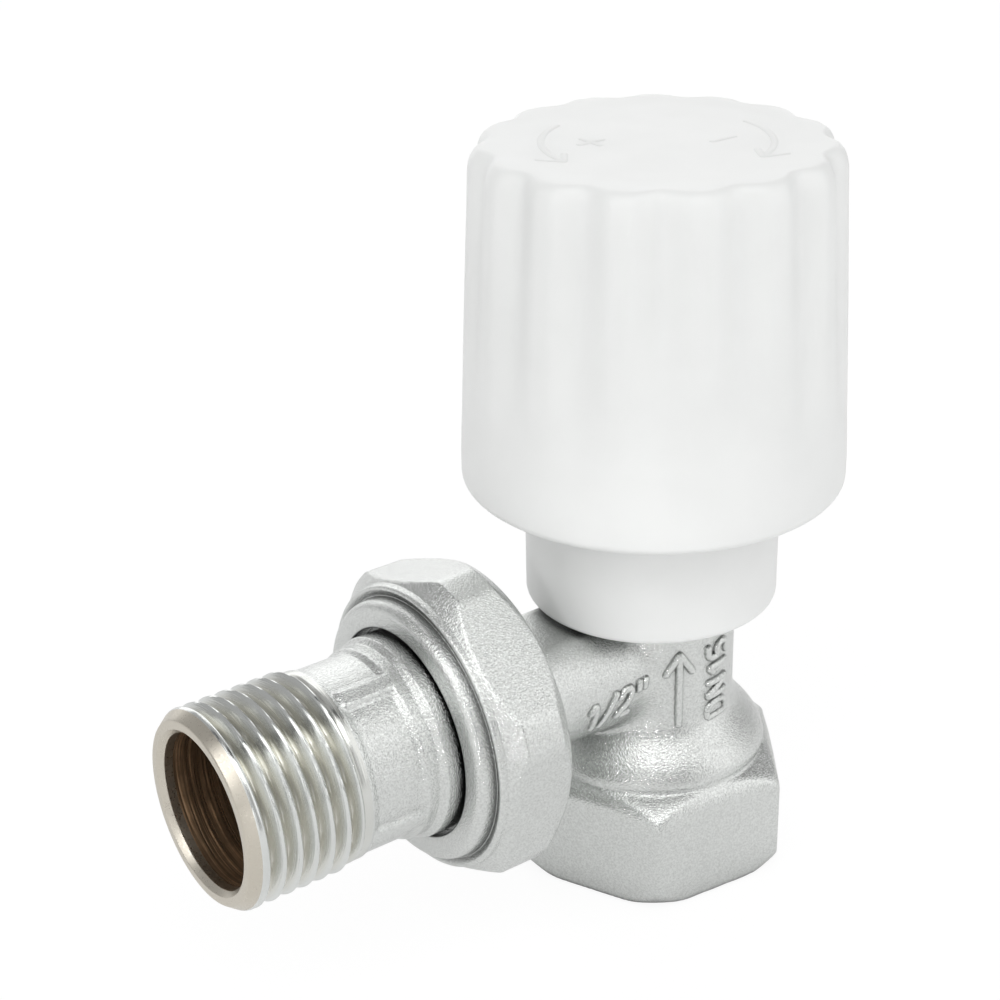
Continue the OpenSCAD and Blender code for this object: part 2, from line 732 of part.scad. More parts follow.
// Captive union nut with two round steps towards the tailpiece
module union_nut() {
    boss_x = nut_front_x - nut_boss_l;
    ring_x = boss_x - nut_ring_l;
    round_r = 0.7;
    color(nickel) outlet() difference() {
        union() {
            intersection() {
                translate([0, 0, nut_rear_x]) rotate([0, 0, nut_turn])
                    cylinder(r = corner_r(nut_af), h = ring_x - nut_rear_x, $fn = 6);
                rotate_extrude() polygon([
                    [0, nut_rear_x], [nut_flat_r, nut_rear_x], [nut_corner_r, nut_rear_x + nut_rear_cone],
                    [nut_corner_r, ring_x - nut_cone], [nut_ring_r, ring_x], [0, ring_x]]);
            }
            rotate_extrude() polygon(concat(
                [[0, ring_x - over], [nut_ring_r, ring_x - over], [nut_ring_r, boss_x - edge],
                 [nut_ring_r - edge, boss_x], [nut_boss_r + 0.3, boss_x], [nut_boss_r, boss_x + 0.3]],
                arc(nut_boss_r - round_r, nut_front_x - round_r, round_r, 0, 90, 5),
                [[0, nut_front_x]]));
        }
        // Thread, lip and hole
        rotate_extrude() polygon([
            [0, nut_rear_x - over], [nut_thread_r + 0.7, nut_rear_x - over],
            [nut_thread_r + 0.7, nut_rear_x], [nut_thread_r, nut_rear_x + 0.7],
            [nut_thread_r, lip_x], [nut_hole_r, lip_x],
            [nut_hole_r, nut_front_x + over], [0, nut_front_x + over]]);
    }
}

valve_body();
bonnet();
bonnet_seal();
gland_nut();
gland_washer();
collar();
disc_holder();
seat_washer();
disc_nut();
disc_clip();
stem();
stem_seal_lower();
stem_seal_upper();
handwheel();
boss_ring();
tailpiece();
tail_seal();
union_nut();
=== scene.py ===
"""Dresses the angled radiator valve: forged body, union, tailpiece, handwheel, and the studio round it."""

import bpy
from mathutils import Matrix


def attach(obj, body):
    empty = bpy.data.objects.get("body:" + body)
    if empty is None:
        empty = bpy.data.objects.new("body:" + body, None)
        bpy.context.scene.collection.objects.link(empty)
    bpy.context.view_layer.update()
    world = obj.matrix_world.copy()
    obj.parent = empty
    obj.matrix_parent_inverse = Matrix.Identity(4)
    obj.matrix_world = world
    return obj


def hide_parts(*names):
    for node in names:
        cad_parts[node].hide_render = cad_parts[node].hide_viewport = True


bl_info = {
    "name": "Angled radiator valve",
    "version": (1, 0, 0),
    "blender": (4, 5, 0),
    "location": "View3D > Sidebar > Valve",
    "description": "Builds the visible pieces of an angled radiator valve on its CAD frame",
    "category": "Add Mesh",
}

import math

import bmesh
import bpy
import numpy as np
from bpy.props import FloatProperty, FloatVectorProperty, IntProperty, PointerProperty
from mathutils import Matrix, Vector

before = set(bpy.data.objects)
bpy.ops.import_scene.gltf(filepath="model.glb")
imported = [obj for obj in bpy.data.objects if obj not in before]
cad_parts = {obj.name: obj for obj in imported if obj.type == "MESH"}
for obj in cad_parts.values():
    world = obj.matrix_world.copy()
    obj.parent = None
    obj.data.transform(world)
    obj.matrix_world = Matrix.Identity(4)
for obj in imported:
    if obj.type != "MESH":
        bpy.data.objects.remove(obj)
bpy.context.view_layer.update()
MM = 0.001

# Places that the CAD frame fixes, in millimetres
CENTRE_Z = 26.0
BODY_TOP = 37.4
FACE_X = 29.4
NECK_X = 24.1
WHEEL_Z = 46.0
WHEEL_H = 36.4
MARK_LIFT = 0.13


def linear(hex_code):
    """sRGB hex colour to the linear values that Blender's sockets take."""
    parts = [int(hex_code[i:i + 2], 16) / 255 for i in (1, 3, 5)]
    return [c / 12.92 if c <= 0.04045 else ((c + 0.055) / 1.055) ** 2.4 for c in parts]


def size(label, note, default, low, high):
    """A length property that is stored in metres and shown in the scene's unit."""
    return FloatProperty(name=label, description=note, default=default * MM, min=low * MM,
                         max=high * MM, unit="LENGTH", subtype="DISTANCE", precision=5)


def paint(label, note, hex_code):
    """A colour property from its sRGB hex value."""
    return FloatVectorProperty(name=label, description=note, default=linear(hex_code), size=3,
                               min=0.0, max=1.0, subtype="COLOR")


class ValveSizes(bpy.types.PropertyGroup):
    """Sizes of the detail that the CAD frame leaves to the scene."""

    pipe_pitch: size("Pipe thread pitch", "Pitch of the half inch pipe threads, 14 per inch", 1.814, 1, 3)
    pipe_depth: size("Pipe thread depth", "Depth of the half inch pipe threads", 1.162, 0.4, 1.6)
    flute_depth: size("Flute depth", "Depth of the handwheel's flutes at the top", 1.35, 0.2, 1.5)
    flutes: IntProperty(name="Flutes", description="Number of flutes round the handwheel",
                        default=15, min=6, max=24)
    relief: size("Relief", "Height of the marks raised on the forging", 0.48, 0.1, 0.6)
    cell: size("Forging detail", "Grid step of the forged body's mesh", 0.34, 0.25, 1.2)


class ValveColours(bpy.types.PropertyGroup):
    """Colours of the finishes, as they look in plain daylight."""

    nickel: paint("Nickel", "Nickel plating on forged and turned brass", "#D4D6D4")
    # The groove colour is painted shade: darker and warmer than the plating, laid in the thread's grooves.
    groove: paint("Groove", "Plating in the thread's grooves, thinner and warmer", "#C2C1B9")
    bare_end: paint("Bare end", "Turned end of the tailpiece", "#CBC5B9")
    bore: paint("Bore", "Oxidised brass inside the tailpiece", "#A98D70")
    brass: paint("Brass", "Turned brass of the headwork", "#CDAA62")
    plastic: paint("Plastic", "White ABS of handwheel and collar", "#ECEDEC")
    rubber: paint("Rubber", "Black rubber of the seals", "#1B1B1C")
    packing: paint("Packing", "White packing washer", "#E6E5DF")
    spring: paint("Spring steel", "Clip and ring of spring steel", "#8F9093")


# Shapes

def smin(a, b, k):
    """Smallest of two fields with a fillet of about k between them."""
    h = np.clip(0.5 + 0.5 * (b - a) / k, 0, 1)
    return b + (a - b) * h - k * h * (1 - h)


def smax(a, b, k):
    return -smin(-a, -b, k)


def step_up(x, low, high):
    """Smooth step from 0 at low to 1 at high."""
    t = np.clip((x - low) / (high - low), 0, 1)
    return t * t * (3 - 2 * t)


def hex_radius(theta, flat, turn):
    """Radius of a hexagon in the direction theta; its corners lie at turn and every 60 degrees on."""
    third = math.pi / 3
    a = np.mod(theta - math.radians(turn), third) - third / 2
    return flat / np.cos(a)


def hex_distance(r, theta, flat):
    """Distance to a hexagon across the axis: negative inside, true outside its corners as well."""
    third = math.pi / 3
    a = np.mod(theta - math.radians(HEX_TURN), third) - third / 2
    ahead, aside = r * np.cos(a) - flat, r * np.abs(np.sin(a)) - flat * math.tan(third / 2)
    return np.where(aside > 0, np.hypot(np.maximum(ahead, 0), aside), ahead)


def rounded(corners, steps=5):
    """Polyline of (t, r, radius) corners with an arc of that radius at each."""
    out = []
    for i, (t, r, q) in enumerate(corners):
        p = np.array([t, r], float)
        if q <= 0 or i in (0, len(corners) - 1):
            out.append(p)
            continue
        u = np.array(corners[i - 1][:2], float) - p
        v = np.array(corners[i + 1][:2], float) - p
        lu, lv = np.linalg.norm(u), np.linalg.norm(v)
        u, v = u / lu, v / lv
        half = math.acos(max(-1, min(1, float(u @ v)))) / 2
        if half > math.radians(89):
            out.append(p)
            continue
        d = min(q / math.tan(half), lu * 0.49, lv * 0.49)
        q = d * math.tan(half)
        mid = (u + v) / np.linalg.norm(u + v)
        c = p + mid * (q / math.sin(half))
        a, b = p + u * d - c, p + v * d - c
        a0 = math.atan2(a[1], a[0])
        turn = (math.atan2(b[1], b[0]) - a0 + math.pi) % (2 * math.pi) - math.pi
        for k in range(steps + 1):
            g = a0 + turn * k / steps
            out.append(c + q * np.array([math.cos(g), math.sin(g)]))
    return out


def resampled(points, longest):
    """The polyline with no segment longer than longest(t)."""
    out = [points[0]]
    for p, q in zip(points[:-1], points[1:]):
        n = max(1, math.ceil(np.linalg.norm(q - p) / longest((p[0] + q[0]) / 2)))
        out += [p + (q - p) * k / n for k in range(1, n + 1)]
    return out


def spun_mesh(points, count, form=None, closed=False):
    """Grid turned about an axis: vertices as (t, radius, angle), and its faces.

    form(angle, t, radius) may change the radius, and so cuts threads, flats and ribs."""
    pts = np.array(points)
    ang = np.linspace(0, 2 * math.pi, count, endpoint=False)
    t = np.repeat(pts[:, 0:1], count, 1)
    r = np.repeat(pts[:, 1:2], count, 1)
    a = np.repeat(ang[None, :], len(pts), 0)
    if form is not None:
        r = form(a, t, r)
    rows = len(pts)
    last = rows if closed else rows - 1
    i, j = np.meshgrid(np.arange(last), np.arange(count), indexing="ij")
    i2, j2 = (i + 1) % rows, (j + 1) % count
    faces = np.stack([i * count + j, i2 * count + j, i2 * count + j2, i * count + j2], -1)
    return np.stack([t, r, a], -1).reshape(-1, 3), faces.reshape(-1, 4)


def upright(tra):
    """Points of a spun grid stood on the stem axis."""
    t, r, a = tra.T
    return np.stack([r * np.cos(a), r * np.sin(a), t], -1)


def outward(tra):
    """Points of a spun grid laid on the outlet axis; t is the distance from the stem axis."""
    t, r, a = tra.T
    return np.stack([-t, -r * np.cos(a), CENTRE_Z + r * np.sin(a)], -1)


def field_mesh(field, low, high, step, chunk=400000):
    """Surface where field(points) is zero, as one quad for each grid edge that crosses it."""
    low, high = np.array(low, float), np.array(high, float)
    n = np.ceil((high - low) / step / 4).astype(int) * 4 + 1
    axes = [low[k] + step * np.arange(n[k]) for k in range(3)]
    coarse = [a[::4] for a in axes]
    rough = field(np.stack(np.meshgrid(*coarse, indexing="ij"), -1).reshape(-1, 3))
    rough = rough.reshape([len(c) for c in coarse])
    near = [np.minimum((np.arange(n[k]) + 2) // 4, len(coarse[k]) - 1) for k in range(3)]
    value = rough[np.ix_(*near)]
    todo = np.flatnonzero(np.abs(value) < step * 7)
    flat = value.reshape(-1)
    for s in range(0, len(todo), chunk):
        part = todo[s:s + chunk]
        ijk = np.unravel_index(part, value.shape)
        flat[part] = field(np.stack([axes[k][ijk[k]] for k in range(3)], -1))
    value = flat.reshape(value.shape)
    inside = value < 0
    # One point in each cell that the surface crosses: the mean of its edge crossings
    corner = np.array([(i, j, k) for i in (0, 1) for j in (0, 1) for k in (0, 1)])
    total = sum(inside[i:n[0] - 1 + i, j:n[1] - 1 + j, k:n[2] - 1 + k].astype(np.int8)
                for i, j, k in corner)
    cells = np.argwhere((total > 0) & (total < 8))
    ident = -np.ones(total.shape, np.int64)
    ident[tuple(cells.T)] = np.arange(len(cells))
    where, hits = np.zeros((len(cells), 3)), np.zeros(len(cells))
    for a in range(8):
        for b in range(a + 1, 8):
            if np.abs(corner[a] - corner[b]).sum() != 1:
                continue
            va = value[tuple((cells + corner[a]).T)]
            vb = value[tuple((cells + corner[b]).T)]
            cross = (va < 0) != (vb < 0)
            f = np.where(cross, va / np.where(cross, va - vb, 1), 0)
            at = corner[a] + (corner[b] - corner[a]) * f[:, None]
            where += np.where(cross[:, None], at, 0)
            hits += cross
    points = low + step * (cells + where / hits[:, None])
    for _ in range(2):
        value_at, slope = field(points), np.empty_like(points)
        for k in range(3):
            d = np.zeros(3)
            d[k] = 0.02
            slope[:, k] = (field(points + d) - field(points - d)) / 0.04
        move = -value_at / np.maximum((slope ** 2).sum(1), 0.2)
        points += slope * np.clip(move, -0.4 * step, 0.4 * step)[:, None]
    faces = []
    for k in range(3):
        a, b = (k + 1) % 3, (k + 2) % 3
        lo_side = [slice(None)] * 3
        hi_side = [slice(None)] * 3
        lo_side[k], hi_side[k] = slice(0, -1), slice(1, None)
        change = inside[tuple(lo_side)] != inside[tuple(hi_side)]
        edge = np.argwhere(change)
        edge = edge[(edge[:, a] > 0) & (edge[:, b] > 0) & (edge[:, a] < n[a] - 1) & (edge[:, b] < n[b] - 1)]
        quad = []
        for da, db in ((0, 0), (1, 0), (1, 1), (0, 1)):
            c = edge.copy()
            c[:, a] -= da
            c[:, b] -= db
            quad.append(ident[tuple(c.T)])
        quad = np.stack(quad, -1)
        flip = inside[tuple(edge.T)]
        quad[~flip] = quad[~flip][:, ::-1]
        faces.append(quad)
    return points, np.concatenate(faces)


def piece(name, points, faces, body, stands_for, materials, pick=None, sharp=40, weld=False):
    """Mesh object in metres that rides on a body. pick(centres) gives each face's material index."""
    mesh = bpy.data.meshes.new(name)
    mesh.from_pydata((np.asarray(points, float) * MM).tolist(), [], [list(f) for f in faces])
    work = bmesh.new()
    work.from_mesh(mesh)
    if weld:
        bmesh.ops.remove_doubles(work, verts=work.verts, dist=1e-7)
    bmesh.ops.recalc_face_normals(work, faces=work.faces)
    limit = math.radians(sharp)
    for e in work.edges:
        e.smooth = len(e.link_faces) != 2 or e.calc_face_angle(0) < limit
    for f in work.faces:
        f.smooth = True
    work.to_mesh(mesh)
    work.free()
    for m in materials:
        mesh.materials.append(m)
    if pick is not None:
        centre = np.empty(len(mesh.polygons) * 3)
        mesh.polygons.foreach_get("center", centre)
        mesh.polygons.foreach_set("material_index", pick(centre.reshape(-1, 3) / MM).astype(np.int32))
    obj = bpy.data.objects.new(name, mesh)
    bpy.context.scene.collection.objects.link(obj)
    if stands_for:
        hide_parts(*stands_for)
    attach(obj, body)
    return obj


# Materials

def node(tree, kind, settings=None, links=None):
    """Adds a node, sets its attributes or unlinked sockets, and links the sockets named."""
    n = tree.nodes.new(kind)
    for key, value in (settings or {}).items():
        if isinstance(key, str) and hasattr(n, key):
            setattr(n, key, value)
        else:
            n.inputs[key].default_value = value
    for key, source in (links or {}).items():
        tree.links.new(source, n.inputs[key])
    return n


def finish(name):
    """An empty material with its node tree."""
    m = bpy.data.materials.new(name)
    m.use_nodes = True
    m.node_tree.nodes.clear()
    return m, m.node_tree


def surface(tree, settings, links):
    shader = node(tree, "ShaderNodeBsdfPrincipled", settings, links)
    node(tree, "ShaderNodeOutputMaterial", links={"Surface": shader.outputs[0]})


def blend_colours(tree, factor, first, second):
    """Colour between two linear colours by a factor socket."""
    n = node(tree, "ShaderNodeMix", {"data_type": "RGBA"})
    n.inputs[6].default_value = (*first, 1)
    n.inputs[7].default_value = (*second, 1)
    tree.links.new(factor, n.inputs[0])
    return n.outputs[2]


def tinted(colour, factor):
    return [min(1.0, c * factor) for c in colour]


def grains(tree, spacing_mm, detail=2.0, rough=0.55, stretch=(1, 1, 1)):
    """Noise whose spots are spacing_mm apart."""
    where = node(tree, "ShaderNodeTexCoord")
    scaled = node(tree, "ShaderNodeMapping", {"Scale": stretch}, {"Vector": where.outputs["Object"]})
    return node(tree, "ShaderNodeTexNoise",
                {"Scale": 1 / (spacing_mm * MM), "Detail": detail, "Roughness": rough},
                {"Vector": scaled.outputs[0]})


def spread(tree, socket, low, high, to_low=0.0, to_high=1.0):
    return node(tree, "ShaderNodeMapRange",
                {"From Min": low, "From Max": high, "To Min": to_low, "To Max": to_high},
                {"Value": socket}).outputs[0]


def bumped(tree, height, depth_mm, strength=1.0, below=None):
    links = {"Height": height}
    if below is not None:
        links["Normal"] = below
    return node(tree, "ShaderNodeBump", {"Strength": strength, "Distance": depth_mm * MM}, links).outputs[0]


def axis_rings(tree, spacing_mm, axis, detail=1.5):
    """Fine noise that varies only along one axis, as a lathe tool leaves it."""
    stretch = [0.02, 0.02, 0.02]
    stretch["XYZ".index(axis)] = 1
    return grains(tree, spacing_mm, detail, 0.6, stretch)


def painted_crease_shade(tree, colour, reach_mm, deepest):
    """The colour darkened by ambient occlusion in creases and near close parts: painted shade."""
    open_sky = node(tree, "ShaderNodeAmbientOcclusion", {"Distance": reach_mm * MM, "samples": 6})
    share = spread(tree, open_sky.outputs["AO"], 0.25, 0.85, deepest, 1.0)
    n = node(tree, "ShaderNodeMix", {"data_type": "RGBA", "blend_type": "MULTIPLY", 0: 1.0})
    tree.links.new(colour, n.inputs[6])
    tree.links.new(share, n.inputs[7])
    return n.outputs[2]


def forged_nickel(colours):
    """Hot-forged brass, shot-blasted and nickel-plated: an even, sparkling grain on soft waves."""
    m, tree = finish("forged_blasted_nickel")
    fine, waves = grains(tree, 0.20, 2.0, 0.6), grains(tree, 1.1, 2.0)
    specks = grains(tree, 0.24, 2.0, 0.65)
    base = blend_colours(tree, spread(tree, specks.outputs["Fac"], 0.36, 0.62),
                         tinted(colours.nickel, 0.92), tinted(colours.nickel, 1.12))
    # Painted shade: ambient occlusion darkens the plating near other surfaces within 5 mm, which also stands in for
    # the dark reflection on the port's top under the collar, and more deeply in creases within 1.3 mm.
    base = painted_crease_shade(tree, painted_crease_shade(tree, base, 5.0, 0.62), 1.3, 0.32)
    relief = bumped(tree, waves.outputs["Fac"], 0.08, 0.35)
    relief = bumped(tree, fine.outputs["Fac"], 0.085, 1.0, relief)
    surface(tree, {"Metallic": 1.0},
            {"Base Color": base, "Normal": relief,
             "Roughness": spread(tree, specks.outputs["Fac"], 0.3, 0.7, 0.10, 0.19)})
    return m


def turned_nickel(colours, axis="X"):
    """Lathe-turned brass, nickel-plated: bright, with the tool's fine rings."""
    m, tree = finish("turned_nickel_" + axis.lower())
    rings = axis_rings(tree, 0.25, axis)
    dull = grains(tree, 2.0)
    base = blend_colours(tree, dull.outputs["Fac"], tinted(colours.nickel, 0.94), colours.nickel)
    surface(tree, {"Metallic": 1.0},
            # Painted shade: the colour darkens strongly in creases within 1.6 mm, by ambient occlusion.
            {"Base Color": painted_crease_shade(tree, base, 1.6, 0.06), "Normal": bumped(tree, rings.outputs["Fac"], 0.02, 0.5),
             "Roughness": spread(tree, dull.outputs["Fac"], 0.3, 0.7, 0.14, 0.24)})
    return m


def threaded_nickel(colours):
    """Cut pipe thread, nickel-plated: crests coloured brighter as a painted highlight, grooves coloured darker and
    warmer as painted shade.
    """
    m, tree = finish("threaded_nickel")
    where = node(tree, "ShaderNodeTexCoord")
    flat = node(tree, "ShaderNodeVectorMath", {"operation": "SUBTRACT", 1: (0, 0, CENTRE_Z * MM)},
                {0: where.outputs["Object"]})
    flat = node(tree, "ShaderNodeVectorMath", {"operation": "MULTIPLY", 1: (0, 1, 1)}, {0: flat.outputs[0]})
    radius = node(tree, "ShaderNodeVectorMath", {"operation": "LENGTH"}, {0: flat.outputs[0]})
    # Share of crest by radius: it lays a painted highlight on the crests and painted shade in the grooves, and also
    # makes the crests smoother.
    crest_and_highlight = spread(tree, radius.outputs["Value"], 0.0095, 0.01025)
    base = blend_colours(tree, crest_and_highlight, tinted(colours.groove, 1.15), tinted(colours.nickel, 1.06))
    scratch = axis_rings(tree, 0.12, "X", 2.5)
    surface(tree, {"Metallic": 1.0},
            {"Base Color": base, "Normal": bumped(tree, scratch.outputs["Fac"], 0.04, 0.8),
             "Roughness": spread(tree, crest_and_highlight, 0, 1, 0.30, 0.18)})
    return m


def bare_end(colours):
    """Faced brass end without plating, wiped bright."""
    m, tree = finish("faced_bare_brass")
    rings = grains(tree, 0.2, 1.5)
    surface(tree, {"Metallic": 1.0, "Base Color": (*colours.bare_end, 1)},
            {"Normal": bumped(tree, rings.outputs["Fac"], 0.01, 0.5),
             "Roughness": spread(tree, rings.outputs["Fac"], 0.3, 0.7, 0.26, 0.40)})
    return m


def oxidised_bore(colours):
    """Drilled brass, left bare: brown oxide with the drill's spiral."""
    m, tree = finish("drilled_oxidised_brass")
    spiral, stain = axis_rings(tree, 0.36, "X", 2.0), grains(tree, 2.6, 3.0)
    drawn = node(tree, "ShaderNodeMath", {"operation": "MULTIPLY"},
                 {0: spread(tree, spiral.outputs["Fac"], 0.42, 0.72),
                  1: spread(tree, stain.outputs["Fac"], 0.35, 0.62, 0.25, 1.0)})
    base = blend_colours(tree, drawn.outputs[0], tinted(colours.bore, 0.55), tinted(colours.bore, 1.9))
    surface(tree, {"Metallic": 0.8},
            {"Base Color": base, "Normal": bumped(tree, spiral.outputs["Fac"], 0.12, 1.0),
             "Roughness": spread(tree, spiral.outputs["Fac"], 0.3, 0.7, 0.24, 0.40)})
    return m


def turned_brass(colours):
    """Turned brass of the headwork, not plated: golden, with rings round the stem."""
    m, tree = finish("turned_brass")
    rings, stain = axis_rings(tree, 0.22, "Z"), grains(tree, 1.8)
    base = blend_colours(tree, spread(tree, stain.outputs["Fac"], 0.35, 0.65),
                         tinted(colours.brass, 0.88), tinted(colours.brass, 1.04))
    surface(tree, {"Metallic": 1.0},
            {"Base Color": base, "Normal": bumped(tree, rings.outputs["Fac"], 0.02, 0.6),
             "Roughness": spread(tree, stain.outputs["Fac"], 0.3, 0.7, 0.20, 0.34)})
    return m


def moulded_plastic(colours):
    """White ABS from a lightly textured mould: satin, a little translucent, faint flow marks."""
    m, tree = finish("moulded_white_abs")
    grain, flow = grains(tree, 0.22, 2.0), grains(tree, 9.0, 2.0)
    base = blend_colours(tree, spread(tree, flow.outputs["Fac"], 0.35, 0.65),
                         tinted(colours.plastic, 0.985), tinted(colours.plastic, 1.01))
    surface(tree, {"IOR": 1.52, "Subsurface Weight": 0.12, "Subsurface Scale": 0.002,
                   "Subsurface Radius": (1.0, 1.0, 1.0)},
            {"Base Color": base, "Normal": bumped(tree, grain.outputs["Fac"], 0.006, 0.5),
             "Roughness": spread(tree, grain.outputs["Fac"], 0.3, 0.7, 0.36, 0.46)})
    return m


def moulded_rubber(colours):
    """Moulded black rubber: matt, faint bloom."""
    m, tree = finish("moulded_rubber")
    bloom = grains(tree, 0.5, 2.0)
    base = blend_colours(tree, bloom.outputs["Fac"], colours.rubber, tinted(colours.rubber, 1.6))
    surface(tree, {}, {"Base Color": base, "Roughness": spread(tree, bloom.outputs["Fac"], 0.3, 0.7, 0.55, 0.7),
                       "Normal": bumped(tree, bloom.outputs["Fac"], 0.01, 0.4)})
    return m


def sliced_packing(colours):
    """Packing washer cut from white fluoropolymer: waxy and smooth."""
    m, tree = finish("sliced_fluoropolymer")
    cut = grains(tree, 0.6, 1.5)
    surface(tree, {"Base Color": (*colours.packing, 1)},
            {"Normal": bumped(tree, cut.outputs["Fac"], 0.01, 0.4),
             "Roughness": spread(tree, cut.outputs["Fac"], 0.3, 0.7, 0.3, 0.42)})
    return m


def spring_steel(colours):
    """Rolled spring steel: grey, with fine drawing lines."""
    m, tree = finish("rolled_spring_steel")
    lines = axis_rings(tree, 0.12, "Z")
    surface(tree, {"Metallic": 1.0, "Base Color": (*colours.spring, 1)},
            {"Normal": bumped(tree, lines.outputs["Fac"], 0.01, 0.5),
             "Roughness": spread(tree, lines.outputs["Fac"], 0.3, 0.7, 0.25, 0.38)})
    return m


MATERIALS = {"forged": forged_nickel, "turned": turned_nickel, "thread": threaded_nickel, "end": bare_end,
             "bore": oxidised_bore, "brass": turned_brass, "plastic": moulded_plastic,
             "rubber": moulded_rubber, "packing": sliced_packing, "spring": spring_steel}
_made = {}


def material(key):
    """The material of that key, made once."""
    if key not in _made:
        _made[key] = MATERIALS[key](bpy.context.scene.valve_colours)
    return _made[key]


def sizes():
    return bpy.context.scene.valve_sizes


# The forged body

HEX_FLAT, HEX_TURN, HEX_H, FOOT_Z, FOOT_R = 14.1, -6.0, 10.2, 13.15, 12.92
PORT_Z, PORT_FLAT_Z = 25.5, 31.9
BODY_PROFILE = np.array([
    (0, 16.6), (FOOT_Z, FOOT_R), (13.45, 12.98), (13.85, 13.0), (14.4, 12.88), (15.0, 12.6), (15.7, 12.17), (16.4, 11.63),
    (17.1, 11.0), (17.8, 10.38), (18.4, 9.93), (19.0, 9.62), (19.7, 9.42), (20.6, 9.32), (21.6, 9.3),
    (31.8, 9.3), (34.4, 11.9), (BODY_TOP + 1, 11.9)])
PORT_PROFILE = np.array([
    (0, 7.5), (9, 7.5), (13, 7.42), (17, 7.42), (19.5, 7.45), (20.6, 7.55), (21.5, 7.85), (22.1, 8.5),
    (22.6, 9.5), (22.9, 10.6), (23.1, 11.6), (24.2, 12.3)])


def body_outside(p):
    """Field of the body's outer form: negative inside, in millimetres."""
    x, y, z = p.T
    r, theta = np.hypot(x, y), np.arctan2(y, x)
    turned = r - np.interp(z, BODY_PROFILE[:, 0], BODY_PROFILE[:, 1])
    # Hexagon below, and its swelling slope up to the crease under the dome
    edge = 0.5
    prism = smax(hex_distance(r, theta, HEX_FLAT - edge) - edge, r - 14.75 - np.maximum(z, 0) * 0.9, 0.3)
    third = math.pi / 3
    middle = 1 - np.abs(np.mod(theta - math.radians(HEX_TURN), third) / third - 0.5) * 2
    start = HEX_H + 0.75 * step_up(middle, 0.0, 0.8)
    f = np.clip((z - start) / (FOOT_Z - start), 0, 1) ** 2.1
    slope = hex_distance(r, theta, (HEX_FLAT - edge) * (1 - f)) - edge * (1 - f) - FOOT_R * f
    foot = np.where(z < start, prism, slope * 0.8)
    stand = np.where(z < FOOT_Z, foot, turned * 0.8)
    stand = smax(smax(stand, -z, 0.4), z - BODY_TOP, 0.3)
    rho, t = np.hypot(y, z - PORT_Z), -x
    port = rho - np.interp(t, PORT_PROFILE[:, 0], PORT_PROFILE[:, 1])
    port = np.maximum(smax(port * 0.9, z - PORT_FLAT_Z, 0.25), np.maximum(t - 23.6, -t))
    both = smin(stand, port, 1.1)
    # The spot face under the collar is cut after the fillet, and leaves the rim alone
    both = smax(both, np.minimum(z - PORT_FLAT_Z, turned * 0.8), 0.25)
    rho = np.hypot(y, z - CENTRE_Z)
    flange = smax(smax(rho - 12.5, 22.5 + (rho - 10.7) * 0.65 - t, 0.3), t - NECK_X, 0.2)
    core = np.maximum(rho - 12.05, np.maximum(t - FACE_X, 22.0 - t))
    return np.minimum(smin(both, flange, 0.8), core)


def body_inside(p):
    """Field of everything bored in the body: negative in the bores."""
    x, y, z = p.T
    r, t = np.hypot(x, y), -x
    bore = np.interp(z, (0, 10.9, 10.95, 12.4, 16.4, 16.41, 29.8, 29.9, 37, 37.5),
                     (10.62, 10.62, 9.3, 5.0, 5.0, 7.0, 7.0, 8.05, 8.05, 8.5))
    hole = r - bore
    moat = np.maximum(np.abs(r - 6.45) - 0.55, np.maximum(14.8 - z, z - 17))
    port = np.maximum(np.hypot(y, z - PORT_Z) - 5.0, np.maximum(-t, t - 27))
    rho = np.hypot(y, z - CENTRE_Z)
    mouth = np.maximum(rho - np.interp(t, (24.2, 26.2, 26.21, 28.8, 29.5), (4.1, 8.8, 9.65, 9.65, 10.4)), 24.2 - t)
    return np.minimum(np.minimum(hole, moat), np.minimum(port, mouth))


def body_field(p):
    return np.maximum(body_outside(p), -body_inside(p))


def pipe_thread(angle, along, pitch, depth, start):
    """Depth of a rounded right-hand thread's groove at an angle and a place along the axis."""
    phase = (along - start) / pitch - angle / (2 * math.pi)
    flank = 0.94
    return depth * (0.5 + np.arcsin(flank * np.cos(2 * math.pi * phase)) / (2 * math.asin(flank)))


class VALVE_OT_body(bpy.types.Operator):
    """Builds the forged body with its threads"""

    bl_idname = "valve.body"
    bl_label = "Forged body"

    def execute(self, context):
        s = sizes()
        points, faces = field_mesh(body_field, (-30.2, -17.2, -0.9), (17.2, 17.2, 38.2), s.cell / MM)

        def pick(c):
            turned = (np.abs(body_inside(c)) < 0.15) | (c[:, 2] < 0.06) | (c[:, 0] < -24.2) | (c[:, 2] > 37.3)
            return np.where(turned, 1, 0)

        piece("forged_body", points, faces, "root", ["valve_body"],
              [material("forged"), material("turned")], pick, sharp=60)
        pitch, depth = s.pipe_pitch / MM, s.pipe_depth / MM

        def inlet(a, t, r):
            cut = pipe_thread(a, -t, pitch, depth, 0.4) * step_up(t, 0.6, 1.6) * (1 - step_up(t, 9.6, 10.9))
            return np.where(r < 10.4, np.minimum(r + cut, 10.6), r)

        rim = rounded([(0.02, 10.9, 0), (0.02, 10.45, 0.1), (1.2, 9.32, 0.2), (10.9, 9.32, 0), (10.9, 9.6, 0)])
        tra, faces = spun_mesh(resampled(rim, lambda t: 0.15), 160, inlet)
        piece("inlet_thread", upright(tra), faces, "root", [], [material("turned")])

        def union(a, t, r):
            fade = step_up(t, 24.6, 25.4) * (1 - step_up(t, 28.9, 29.3))
            return r - pipe_thread(a, t, pitch, 1.0, 25.2) * fade * (r > 12.6)

        ring = rounded([(24.1, 12.0, 0), (24.6, 13.05, 0.1), (28.7, 13.05, 0.2), (29.4, 12.3, 0.1), (29.4, 10.4, 0)])
        tra, faces = spun_mesh(resampled(ring, lambda t: 0.15), 192, union)
        piece("union_thread", outward(tra), faces, "root", [], [material("thread")])
        return {"FINISHED"}


